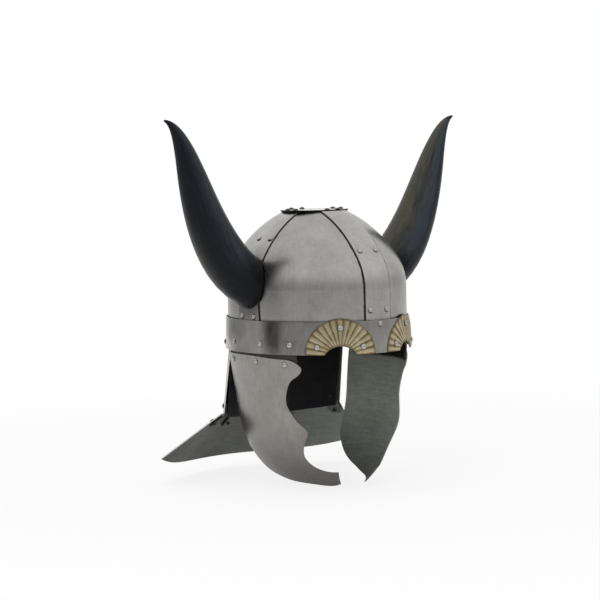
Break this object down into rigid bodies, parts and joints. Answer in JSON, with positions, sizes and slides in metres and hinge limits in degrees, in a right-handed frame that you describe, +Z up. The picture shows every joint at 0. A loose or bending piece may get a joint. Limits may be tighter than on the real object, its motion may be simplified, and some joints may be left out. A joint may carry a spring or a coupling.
{
  "type": "helmet",
  "caption": "Riveted sheet-steel helmet with a banded dome, brass fans over the eye arches, two upswept horns, hinged cheek plates and a neck guard with a flared rim.",
  "frame": {"origin": "centre of the head opening, at the brow band's lower edge", "axes": "+Z up through the crown, -Y the way the wearer faces, +X towards the wearer's left"},
  "size_m": [0.4092, 0.3057, 0.417],
  "materials": {
    "dome_steel": "satin-polished sheet",
    "band_steel": "polished sheet",
    "guard_steel": "polished sheet with a warm cast",
    "rivet_steel": "polished heads",
    "screw_steel": "plain",
    "brass": "aged, polished on the ridges",
    "horn": "polished dark horn",
    "plug_wood": "bare",
    "hinge_leather": "smooth, waxed",
    "lining_leather": "smooth",
    "liner_leather": "suede side in",
    "lace_leather": "cut thong"
  },
  "bodies": {
    "helmet": {"dome_panel_front_right": "dome_steel", "dome_panel_front_left": "dome_steel", "dome_panel_rear_right": "dome_steel", "dome_panel_rear_left": "dome_steel", "front_band": "band_steel", "rear_band": "band_steel", "side_band_left": "band_steel", "side_band_right": "band_steel", "crown_plate": "band_steel", "brow_band": "band_steel", "brow_fan_left": "brass", "brow_fan_right": "brass", "horn_left": "horn", "horn_right": "horn", "horn_plug_left": "plug_wood", "horn_plug_right": "plug_wood", "horn_screws": "screw_steel", "horn_washers": "screw_steel", "neck_plate": "guard_steel", "neck_lining": "lining_leather", "flare_hinge_tabs": "hinge_leather", "cheek_strip_left": "hinge_leather", "cheek_strip_right": "hinge_leather", "liner_headband": "liner_leather", "liner_tongue_1": "liner_leather", "liner_tongue_2": "liner_leather", "liner_tongue_3": "liner_leather", "liner_tongue_4": "liner_leather", "liner_tongue_5": "liner_leather", "liner_tongue_6": "liner_leather", "liner_tongue_7": "liner_leather", "liner_tongue_8": "liner_leather", "liner_lace": "lace_leather", "crown_rivets": "rivet_steel", "band_rivets_upper": "rivet_steel", "band_rivets_lower": "rivet_steel", "brow_rivets": "rivet_steel", "fan_rivets": "rivet_steel", "strip_rivets_left": "rivet_steel", "strip_rivets_right": "rivet_steel", "neck_rivets": "rivet_steel", "tab_rivets": "rivet_steel"},
    "cheek_left": {"cheek_plate_left": "guard_steel", "cheek_rivets_left": "rivet_steel"},
    "cheek_right": {"cheek_plate_right": "guard_steel", "cheek_rivets_right": "rivet_steel"},
    "flare": {"neck_flare": "guard_steel", "flare_rivets": "rivet_steel"}
  },
  "joints": [
    {"name": "cheek_left_hinge", "type": "hinge", "parent": "helmet", "child": "cheek_left", "pos_m": [0.098, 0, -0.001], "axis": [0, -1, 0], "range_deg": [-6, 90], "deforming": ["cheek_strip_left"]},
    {"name": "cheek_right_hinge", "type": "hinge", "parent": "helmet", "child": "cheek_right", "pos_m": [-0.098, 0, -0.001], "axis": [0, 1, 0], "range_deg": [-6, 90], "deforming": ["cheek_strip_right"]},
    {"name": "flare_hinge", "type": "hinge", "parent": "helmet", "child": "flare", "pos_m": [0, 0.088, -0.08], "axis": [1, 0, 0], "range_deg": [0, 8], "deforming": ["flare_hinge_tabs"]}
  ]
}
